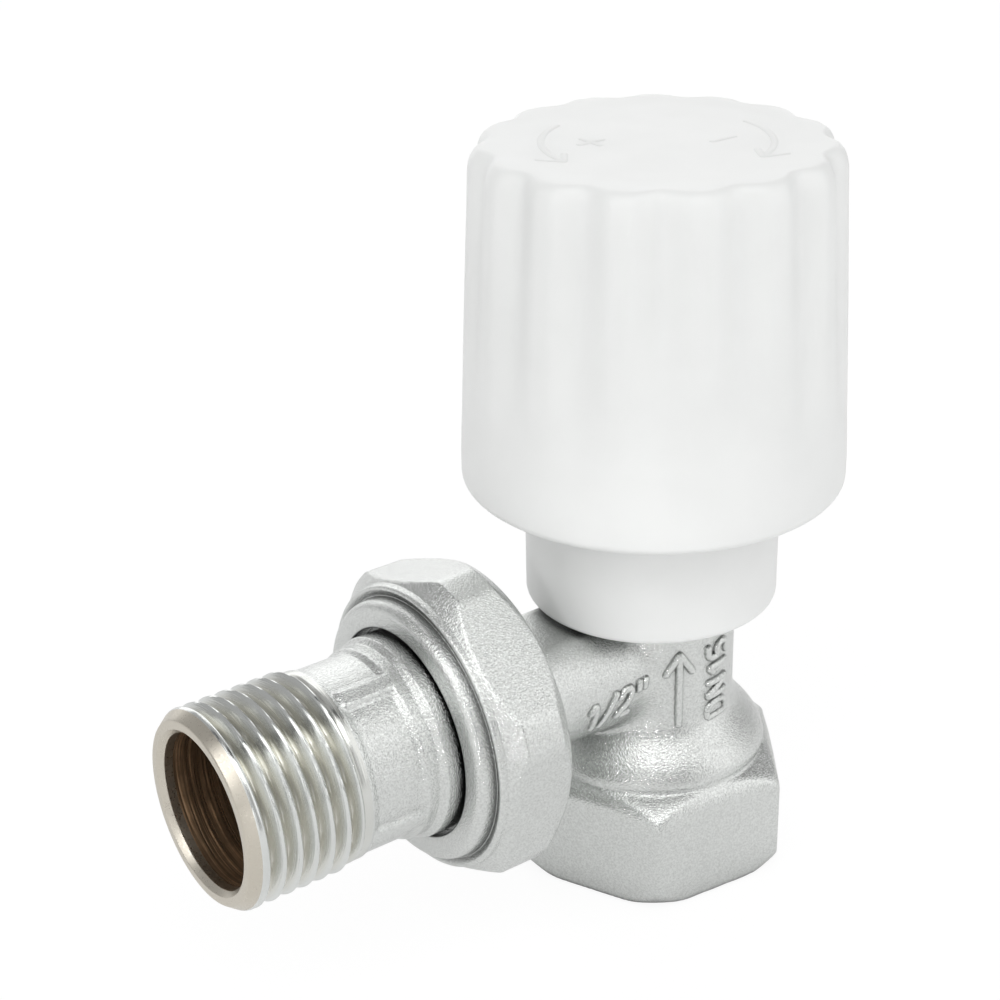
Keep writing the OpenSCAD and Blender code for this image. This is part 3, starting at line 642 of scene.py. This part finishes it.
class VALVE_OT_tailpiece(bpy.types.Operator):
    """Builds the tailpiece with its ribbed neck and pipe thread"""

    bl_idname = "valve.tailpiece"
    bl_label = "Tailpiece"

    def execute(self, context):
        s = sizes()
        pitch, depth = s.pipe_pitch / MM, s.pipe_depth / MM
        edge = 0.12
        outline = rounded([
            (26.5, 8.1, 0), (26.5, 9.1, edge), (27.0, 9.6, edge), (27.3, 9.6, 0), (27.3, 8.86, 0),
            (28.7, 8.86, 0), (28.7, 9.6, 0), (29.5, 9.6, 0), (29.5, 12.6, 0.25), (31.5, 12.6, 0.25),
            (31.5, 10.83, 0), (35.0, 10.83, 0.35), (35.6, 10.25, 0.35), (36.95, 10.25, 0.35),
            (37.5, 9.8, 0.5), (42.5, 9.8, 0.5), (43.2, 10.03, 0.25), (44.3, 10.03, 0), (44.7, 10.46, 0.1),
            (55.7, 10.46, 0.8), (57.0, 9.5, 0.35), (57.0, 8.62, 0.12), (56.4, 8.1, 0.2), (55.4, 8.1, 0)])
        fine = lambda t: 0.13 if 43.6 < t < 56.2 else (0.22 if 35 < t < 43.7 else 0.6)

        def form(a, t, r):
            run = step_up(t, 43.9, 45.2) * (1 - step_up(t, 54.9, 55.6))
            groove = pipe_thread(a, t, pitch, depth, 54.4) * run
            r = np.where((r > 9.9) & (t > 43.6), np.maximum(r - groove, 9.3), r)
            # Four ribs of the key's grip, a quarter turn apart
            turn = np.mod(np.degrees(a) + 22.5 + 45, 90) - 45
            across = 1 - step_up(np.abs(np.radians(turn)) * 10, 0.75, 1.45)
            rib = 9.7 + 0.6 * across * step_up(43.5 - t, 0, 1.0)
            return np.where((t > 36.6) & (t < 43.5), smax(r, rib, 0.15), r)

        tra, faces = spun_mesh(resampled(outline, fine), 288, form)

        def pick(c):
            radius = np.hypot(c[:, 1], c[:, 2] - CENTRE_Z)
            t = -c[:, 0]
            kind = np.where(t > 43.3, 1, 0)
            kind = np.where((t > 56.1) & (radius > 8.3), 2, kind)
            kind = np.where((t > 55.2) & (radius < 8.66), 2, kind)
            return np.where(t < 31.6, 1, kind)

        piece("tailpiece_outside", outward(tra), faces, "tail", ["tailpiece"],
              [material("forged"), material("thread"), material("end")], pick)
        way = [np.array(p, float) for p in ((55.45, 8.1), (26.5, 8.1))]
        tra, faces = spun_mesh(resampled(way, lambda t: 1.0), 160)
        piece("tailpiece_bore", outward(tra), faces, "tail", [], [material("bore")])
        return {"FINISHED"}


class VALVE_OT_union_nut(bpy.types.Operator):
    """Builds the union nut with its two round steps"""

    bl_idname = "valve.union_nut"
    bl_label = "Union nut"

    def execute(self, context):
        corners = [
            (31.6, 11.28, 0), (33.4, 11.28, 0.2), (33.4, 13.95, 1.15), (31.5, 14.15, 0.1), (31.55, 14.35, 0.1),
            (32.0, 15.25, 0.35),
            (31.0, 15.4, 0.15), (29.5, 17.2, 0.4), (25.1, 17.2, 0.5), (23.4, 15.75, 0.3), (23.4, 13.85, 0.1),
            (24.1, 13.15, 0.1), (31.55, 13.15, 0.1), (31.6, 11.28, 0)]

        def form(a, t, r):
            flats = hex_radius(a, 15.7, 18)
            cut = smin(r, flats, 0.25)
            return np.where(r > 15.36, cut, r)

        line = rounded(corners, 6)
        tra, faces = spun_mesh(resampled(line, lambda t: 0.18), 300, form)

        def pick(c):
            radius = np.hypot(c[:, 1], c[:, 2] - CENTRE_Z)
            return np.where((radius < 13.3) & (c[:, 0] > -33.3), 1, 0)

        piece("union_nut_outside", outward(tra), faces, "nut", ["union_nut"],
              [material("forged"), material("turned")], pick, sharp=50)
        return {"FINISHED"}


class VALVE_OT_handwheel(bpy.types.Operator):
    """Builds the fluted handwheel with its inside"""

    bl_idname = "valve.handwheel"
    bl_label = "Handwheel"

    def execute(self, context):
        s = sizes()
        deep, n = s.flute_depth / MM, s.flutes
        top = WHEEL_H - 0.02

        def flute(a):
            """1 in the middle of a flute, 0 on the lobes between them."""
            turn = np.mod(np.degrees(a) - 15.4 + 180 / n, 360 / n) - 180 / n
            w = np.clip(np.abs(turn) / (180 / n) / 0.86, 0, 1)
            return 0.5 + 0.5 * np.cos(math.pi * w)

        side_z = (3, 5, 8, 14, 20, 26, 31, 34.5)
        side_r = (20.44, 20.36, 20.2, 19.95, 19.68, 19.38, 19.12, 18.98)
        count = 360
        ang = np.linspace(0, 2 * math.pi, count, endpoint=False)
        g = flute(ang)
        rows = []
        foot = rounded([(0, 18.3, 0.0), (0, 20.44, 1.1), (3, 20.44, 0)], 6)
        for t, r in foot[:-1]:
            rows.append((np.full(count, t), np.full(count, r)))
        high = top - 2.8 + 0.5 * g
        for k in range(49):
            z = 3 + (high - 3) * k / 48
            cut = deep * g * np.clip((z - 9) / (WHEEL_H - 9), 0, 1) ** 0.6
            rows.append((z, np.interp(z, side_z, side_r) - cut))
        z0, r0 = rows[-1]
        lean = 0.04
        wide = 1.6 - 0.4 * g
        for k in range(1, 11):
            q = math.pi / 2 * k / 10
            rows.append((z0 + (top - z0) * math.sin(q), r0 - wide * (1 - math.cos(q)) - lean * math.sin(q)))
        # The middle of the top lies a hair lower, for the raised marks
        r1 = rows[-1][1]
        for k in range(1, 13):
            inward = r1 + (2.0 - r1) * k / 12
            rows.append((top - MARK_LIFT * step_up(16.4 - inward, 0, 1.4), inward))
        t = np.stack([row[0] for row in rows])
        r = np.stack([row[1] for row in rows])
        points = np.stack([t + WHEEL_Z, r, np.repeat(ang[None, :], len(rows), 0)], -1).reshape(-1, 3)
        i, j = np.meshgrid(np.arange(len(rows) - 1), np.arange(count), indexing="ij")
        j2 = (j + 1) % count
        faces = np.stack([i * count + j, (i + 1) * count + j, (i + 1) * count + j2, i * count + j2], -1)
        points = upright(points)
        middle = len(points)
        points = np.concatenate([points, [[0, 0, WHEEL_Z + top - MARK_LIFT]]])
        faces = [list(f) for f in faces.reshape(-1, 4)]
        last = (len(rows) - 1) * count
        faces += [[last + k, last + (k + 1) % count, middle] for k in range(count)]
        # Inside: wall, roof, boss and its socket
        inner = rounded([(0, 18.3, 0), (8, 18.25, 1.5), (33.9, 15.2, 0.8), (34, 6.0, 0.6), (9.4, 6.0, 0.3),
                         (9.4, 3.5, 0.2), (20.0, 3.46, 0), (20.0, 0.5, 0)])
        tra, more = spun_mesh(resampled(inner, lambda v: 2.0), 120)
        tra[:, 0] += WHEEL_Z
        offset = len(points)
        points = np.concatenate([points, upright(tra)])
        faces += (more + offset).tolist()
        for k in range(6):
            q = math.radians(60 * k)
            out, side = np.array([math.cos(q), math.sin(q)]), np.array([-math.sin(q), math.cos(q)])
            base = len(points)
            ring = []
            for d, low in ((5.9, 21.0), (16.4, 21.0), (15.3, 34.1), (5.9, 34.1)):
                for h in (-0.6, 0.6):
                    xy = out * d + side * h
                    ring.append([xy[0], xy[1], WHEEL_Z + low])
            points = np.concatenate([points, ring])
            for a in range(4):
                b = (a + 1) % 4
                faces.append([base + 2 * a, base + 2 * a + 1, base + 2 * b + 1, base + 2 * b])
            faces.append([base, base + 2, base + 4, base + 6])
            faces.append([base + 1, base + 7, base + 5, base + 3])
        piece("handwheel_moulding", points, faces, "stem_and_wheel", ["handwheel"],
              [material("plastic")], weld=False)
        return {"FINISHED"}


class VALVE_OT_collar(bpy.types.Operator):
    """Builds the white collar under the handwheel"""

    bl_idname = "valve.collar"
    bl_label = "Collar"

    def execute(self, context):
        line = rounded([
            (32.2, 12.3, 0.2), (32.2, 13.7, 1.2), (52.2, 13.7, 0.4), (52.2, 12.3, 0.15), (38.7, 12.3, 0.1),
            (38.7, 11.12, 0.1), (37.5, 11.12, 0.1), (37.5, 12.3, 0.1), (34.2, 12.3, 0.1), (33.8, 11.7, 0.1),
            (33.6, 11.7, 0.1), (33.1, 12.3, 0.2), (32.2, 12.3, 0)], 7)
        line[0] = line[-1]
        tra, faces = spun_mesh(resampled(line, lambda t: 1.5), 160)
        piece("collar_sleeve", upright(tra), faces, "root", ["collar"],
              [material("plastic")])
        return {"FINISHED"}


def smoothed(path, turns=2):
    """Path with its corners cut twice, as a worn die leaves them."""
    for _ in range(turns):
        cut = [path[0]]
        for p, q in zip(path[:-1], path[1:]):
            cut += [p * 0.75 + q * 0.25, p * 0.25 + q * 0.75]
        path = cut + [path[-1]]
    return path


def welts(name, paths, width, height, body, finish_key, place, turns=2):
    """Raised strokes with a round back along paths (u, v), laid on the object by place(u, v, w)."""
    points, faces, around = [], [], 8
    for raw in paths:
        path = smoothed([np.array(p, float) for p in raw], turns)
        first, last = path[0] - path[1], path[-1] - path[-2]
        path[0] = path[0] + first / np.linalg.norm(first) * width * 0.3
        path[-1] = path[-1] + last / np.linalg.norm(last) * width * 0.3
        path = np.array(resampled(path, lambda v: 0.12))
        run = np.concatenate([[0], np.cumsum(np.linalg.norm(np.diff(path, axis=0), axis=1))])
        ahead = np.gradient(path, axis=0)
        ahead /= np.linalg.norm(ahead, axis=1)[:, None]
        side = np.stack([-ahead[:, 1], ahead[:, 0]], -1)
        end = np.clip(np.minimum(run, run[-1] - run) / (width / 2), 0, 1)
        full = np.sqrt(1 - (1 - end) ** 2) * 0.999 + 0.001
        base = len(points)
        for p, n, k in zip(path, side, full):
            for a in np.linspace(0, math.pi, around + 1):
                u, v = p + n * (width / 2 * k * math.cos(a))
                points.append(place(u, v, height * k * math.sin(a) - 0.05))
        for i in range(len(path) - 1):
            for a in range(around):
                at = base + i * (around + 1) + a
                faces.append((at, at + 1, at + around + 2, at + around + 1))
            at = base + i * (around + 1)
            faces.append((at, at + around + 1, at + 2 * around + 1, at + around))
    return piece(name, points, faces, body, [], [material(finish_key)], sharp=70)


def lettered(text, at, tall, along=(1, 0)):
    """Strokes of a text from a corner, each sign on a grid of one by one."""
    u, v = np.array(along, float), np.array((-along[1], along[0]), float)
    paths, start = [], 0.0
    for sign in text:
        wide, strokes = SIGNS[sign]
        for stroke in strokes:
            paths.append([tuple(np.array(at) + u * (start + x) * tall + v * y * tall) for x, y in stroke])
        start += wide
    return paths


SIGNS = {
    "1": (0.62, [[(0.05, 0.72), (0.32, 1.0), (0.32, 0.0)]]),
    "/": (0.62, [[(0.02, -0.05), (0.5, 1.05)]]),
    "2": (0.82, [[(0.05, 0.78), (0.2, 1.0), (0.5, 0.98), (0.56, 0.7), (0.3, 0.35), (0.02, 0.02), (0.6, 0.02)]]),
    "\"": (0.5, [[(0.05, 0.72), (0.05, 1.05)], [(0.3, 0.72), (0.3, 1.05)]]),
    "D": (0.85, [[(0.05, 0.0), (0.05, 1.0)], [(0.05, 1.0), (0.4, 1.0), (0.6, 0.7), (0.6, 0.3), (0.4, 0.0), (0.05, 0.0)]]),
    "N": (0.92, [[(0.05, 0.0), (0.05, 1.0)], [(0.05, 1.0), (0.6, 0.0)], [(0.6, 0.0), (0.6, 1.0)]]),
    "5": (0.8, [[(0.55, 1.0), (0.08, 1.0), (0.05, 0.55), (0.35, 0.62), (0.58, 0.4), (0.5, 0.05), (0.05, 0.02)]]),
    "+": (1.0, [[(0.0, 0.5), (1.0, 0.5)], [(0.5, 0.0), (0.5, 1.0)]]),
    "-": (1.0, [[(0.0, 0.5), (1.0, 0.5)]])}


def arc_path(radius, start, stop, n=20):
    """Points along an arc about the middle, in degrees."""
    turn = np.radians(np.linspace(start, stop, n))
    return [(radius * math.cos(a), radius * math.sin(a)) for a in turn]


class VALVE_OT_marks(bpy.types.Operator):
    """Raises the size marks, the flow arrow and the turning arrows"""

    bl_idname = "valve.marks"
    bl_label = "Raised marks"

    def execute(self, context):
        lift = sizes().relief / MM
        # Size mark on the port, leaning forward and running uphill
        tilt, slant = math.radians(6), 0.24

        def on_port(u, v, w):
            u = u + slant * v
            u, v = u * math.cos(tilt) - v * math.sin(tilt), u * math.sin(tilt) + v * math.cos(tilt)
            x = -14.9 + u
            r = np.interp(-x, PORT_PROFILE[:, 0], PORT_PROFILE[:, 1]) + w
            a = math.radians(-27) + v / 7.3
            return (x, -r * math.cos(a), PORT_Z + r * math.sin(a))

        welts("size_mark", lettered('1/2"', (0, 0), 3.2), 0.95, lift, "root", "forged", on_port)

        def on_barrel(u, v, w):
            a = math.radians(-95) + u / 9.3
            return ((9.3 + w) * math.cos(a), (9.3 + w) * math.sin(a), v)

        marks = lettered("DN15", (4.2, 19.2), 3.1, (0, 1))
        welts("barrel_size_mark", marks, 0.92, lift, "root", "forged", on_barrel)
        marks = [[(-2.5, 19.4), (-2.5, 28.0)], [(-4.1, 25.9), (-2.5, 28.3), (-0.9, 25.9)]]
        welts("flow_arrow", marks, 0.95, lift, "root", "forged", on_barrel, 0)

        top = WHEEL_Z + WHEEL_H - 0.02 - MARK_LIFT

        def on_top(u, v, w):
            return (u, v, top + w)

        marks = []
        for middle, turn, sign in ((145, 1, "+"), (-35, -1, "-")):
            low, high = middle - 34, middle + 34
            marks.append(arc_path(11.6, low, high))
            tip = math.radians(high if turn > 0 else low)
            at = np.array([math.cos(tip), math.sin(tip)]) * 11.6
            back = np.array([math.sin(tip), -math.cos(tip)]) * turn
            out = np.array([math.cos(tip), math.sin(tip)])
            marks.append([tuple(at + back * 2.2 + out * 1.7), tuple(at), tuple(at + back * 2.2 - out * 1.7)])
            a = math.radians(middle)
            place = np.array([math.cos(a), math.sin(a)]) * 6.6 - 1.6
            marks += lettered(sign, tuple(place), 3.2)
        welts("turning_marks", marks, 0.8, MARK_LIFT * 0.95, "stem_and_wheel", "plastic", on_top, 0)
        return {"FINISHED"}


class VALVE_OT_headwork(bpy.types.Operator):
    """Gives the headwork, disc and seals their finishes"""

    bl_idname = "valve.headwork"
    bl_label = "Headwork and seals"

    def execute(self, context):
        finishes = {"brass": ("bonnet", "gland_nut", "disc_holder", "disc_nut", "stem"),
                    "rubber": ("bonnet_seal", "seat_washer", "stem_seal_lower", "stem_seal_upper", "tail_seal"),
                    "packing": ("gland_washer",), "spring": ("disc_clip", "boss_ring")}
        for key, names in finishes.items():
            for name in names:
                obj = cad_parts[name]
                obj.data.materials.clear()
                obj.data.materials.append(material(key))
        return {"FINISHED"}


# The studio

def lamp(name, place, target, width, height, watts):
    data = bpy.data.lights.new(name, "AREA")
    data.shape, data.size, data.size_y, data.energy = "RECTANGLE", width, height, watts
    obj = bpy.data.objects.new(name, data)
    obj.location = place
    obj.rotation_euler = (Vector(target) - Vector(place)).to_track_quat("-Z", "Y").to_euler()
    bpy.context.scene.collection.objects.link(obj)
    return obj


def black_card(name, centre, way, away, wide, high):
    """Matt black sheet that faces the object and that the camera doesn't see."""
    m, tree = finish(name)
    surface(tree, {"Base Color": (0.03, 0.03, 0.03, 1), "Roughness": 1.0}, {})
    across = Vector((1, 0, 0)) if abs(way.z) > 0.7 else way.cross(Vector((0, 0, 1))).normalized()
    across = (across - way * across.dot(way)).normalized()
    upward = across.cross(way).normalized()
    middle = centre + way * away
    mesh = bpy.data.meshes.new(name)
    mesh.from_pydata([middle + across * a * wide / 2 + upward * b * high / 2
                      for a, b in ((-1, -1), (1, -1), (1, 1), (-1, 1))], [], [(0, 1, 2, 3)])
    mesh.materials.append(m)
    card = bpy.data.objects.new(name, mesh)
    card.visible_camera = False
    bpy.context.scene.collection.objects.link(card)
    return card


class VALVE_OT_stage(bpy.types.Operator):
    """Sets the floor, the lamps and the camera"""

    bl_idname = "valve.stage"
    bl_label = "Stage"

    def execute(self, context):
        scene = context.scene
        scene.view_settings.view_transform = "Standard"
        camera = bpy.data.objects.new("camera", bpy.data.cameras.new("camera"))
        camera.data.lens, camera.data.sensor_width = 72.70, 36.0
        camera.data.clip_start, camera.data.clip_end = 0.01, 10
        right = Vector((0.80513, -0.59278, -0.01961)).normalized()
        ahead = Vector((0.52662, 0.7297, -0.43612)).normalized()
        up = right.cross(ahead).normalized()
        turn = Matrix((right, up, -ahead)).transposed().to_4x4()
        camera.matrix_world = Matrix.Translation((-0.12816, -0.14954, 0.138)) @ turn
        scene.collection.objects.link(camera)
        scene.camera = camera

        m, tree = finish("pale_floor")
        path = node(tree, "ShaderNodeLightPath")
        mirrored = node(tree, "ShaderNodeMath", {"operation": "MULTIPLY", 1: 0.25}, {0: path.outputs["Is Glossy Ray"]})
        shown = node(tree, "ShaderNodeMath", {"operation": "MAXIMUM"},
                     {0: path.outputs["Is Camera Ray"], 1: path.outputs["Is Transmission Ray"]})
        shown = node(tree, "ShaderNodeMath", {"operation": "MAXIMUM"}, {0: shown.outputs[0], 1: mirrored.outputs[0]})
        share = node(tree, "ShaderNodeMath", {"operation": "MULTIPLY", 1: 0.90}, {0: shown.outputs[0]})
        share = node(tree, "ShaderNodeMath", {"operation": "MAXIMUM", 1: 0.2}, {0: share.outputs[0]})
        matt = node(tree, "ShaderNodeBsdfDiffuse", {"Color": (0.94, 0.94, 0.94, 1)})
        glow = node(tree, "ShaderNodeEmission", {"Color": (1, 1, 1, 1), "Strength": 1.03})
        both = node(tree, "ShaderNodeMixShader", links={0: share.outputs[0], 1: matt.outputs[0], 2: glow.outputs[0]})
        node(tree, "ShaderNodeOutputMaterial", links={"Surface": both.outputs[0]})
        mesh = bpy.data.meshes.new("floor")
        half = 3.0
        mesh.from_pydata([(-half, -half, -0.0002), (half, -half, -0.0002), (half, half, -0.0002),
                          (-half, half, -0.0002)], [], [(0, 1, 2, 3)])
        mesh.materials.append(m)
        floor = bpy.data.objects.new("floor", mesh)
        scene.collection.objects.link(floor)

        world = bpy.data.worlds.new("studio")
        scene.world = world
        world.use_nodes = True
        tree = world.node_tree
        tree.nodes.clear()
        path = node(tree, "ShaderNodeLightPath")
        shown = node(tree, "ShaderNodeMath", {"operation": "MAXIMUM"},
                     {0: path.outputs["Is Camera Ray"], 1: path.outputs["Is Transmission Ray"]})
        plain = node(tree, "ShaderNodeBackground", {"Color": (1, 1, 1, 1), "Strength": 0.47})
        white = node(tree, "ShaderNodeBackground", {"Color": (1, 1, 1, 1), "Strength": 1.0})
        both = node(tree, "ShaderNodeMixShader", links={0: shown.outputs[0], 1: plain.outputs[0], 2: white.outputs[0]})
        node(tree, "ShaderNodeOutputWorld", links={"Surface": both.outputs[0]})

        centre = (-0.015, 0, 0.04)
        for name, way, away, wide, high, glow in (
                ("right", (0.58, -0.66, 0.46), 0.55, 0.52, 0.62, 0.8),
                ("upper_left", (-0.74, -0.05, 0.58), 0.55, 0.26, 0.26, 2.1),
                ("front_top", (-0.27, -0.42, 0.87), 0.55, 0.36, 0.30, 2.5),
                ("front_low", (-0.80, -0.60, 0.05), 0.50, 0.40, 0.16, 0.6),
                ("far", (0.40, 0.62, 0.62), 0.60, 0.50, 0.30, 1.15),
                ("backdrop", (0.45, 0.86, 0.10), 0.80, 1.20, 0.50, 1.05),
                ("left", (-0.86, -0.40, 0.30), 0.50, 0.40, 0.28, 0.55)):
            place = Vector(centre) + Vector(way).normalized() * away
            lamp(name, place, centre, wide, high, glow * math.pi * wide * high)
        # A snoot lifts the collar out of the shadow of the handwheel and the union nut
        narrow = bpy.data.lights.new("snoot", "SPOT")
        narrow.energy, narrow.spot_size, narrow.spot_blend = 1.9, math.radians(4.4), 0.9
        narrow.shadow_soft_size = 0.015
        snoot = bpy.data.objects.new("snoot", narrow)
        aim = Vector((-0.005, 0, 0.0365))
        way = Vector((-0.67, -0.72, 0.16)).normalized()
        snoot.location = aim + way * 0.5
        snoot.rotation_euler = way.to_track_quat("Z", "Y").to_euler()
        scene.collection.objects.link(snoot)
        # Black cards: the dark streaks on the metal are their reflections
        for name, way, wide, high in (("overhead_card", (0.30, -0.12, 0.94), 0.8, 0.13),
                                      ("side_card", (-0.88, -0.48, -0.04), 0.06, 0.30),
                                      ("left_card", (-0.52, 0.32, 0.78), 0.14, 0.14)):
            black_card(name, Vector(centre), Vector(way).normalized(), 0.45, wide, high)
        return {"FINISHED"}


OPERATORS = (VALVE_OT_stage, VALVE_OT_body, VALVE_OT_tailpiece, VALVE_OT_union_nut, VALVE_OT_handwheel,
             VALVE_OT_collar, VALVE_OT_headwork, VALVE_OT_marks)


class VALVE_PT_panel(bpy.types.Panel):
    """Lists the sizes, the colours and the pieces"""

    bl_idname = "VALVE_PT_panel"
    bl_label = "Angled radiator valve"
    bl_space_type = "VIEW_3D"
    bl_region_type = "UI"
    bl_category = "Valve"

    def draw(self, context):
        column = self.layout.column()
        for group in (context.scene.valve_sizes, context.scene.valve_colours):
            for key in group.__annotations__:
                column.prop(group, key)
        for operator in OPERATORS:
            column.operator(operator.bl_idname)


CLASSES = (ValveSizes, ValveColours) + OPERATORS + (VALVE_PT_panel,)


def register():
    for c in CLASSES:
        bpy.utils.register_class(c)
    bpy.types.Scene.valve_sizes = PointerProperty(type=ValveSizes)
    bpy.types.Scene.valve_colours = PointerProperty(type=ValveColours)


def unregister():
    del bpy.types.Scene.valve_colours
    del bpy.types.Scene.valve_sizes
    for c in reversed(CLASSES):
        bpy.utils.unregister_class(c)


def main():
    register()
    for operator in OPERATORS:
        group, name = operator.bl_idname.split(".")
        getattr(getattr(bpy.ops, group), name)()


if __name__ == "__main__":
    main()
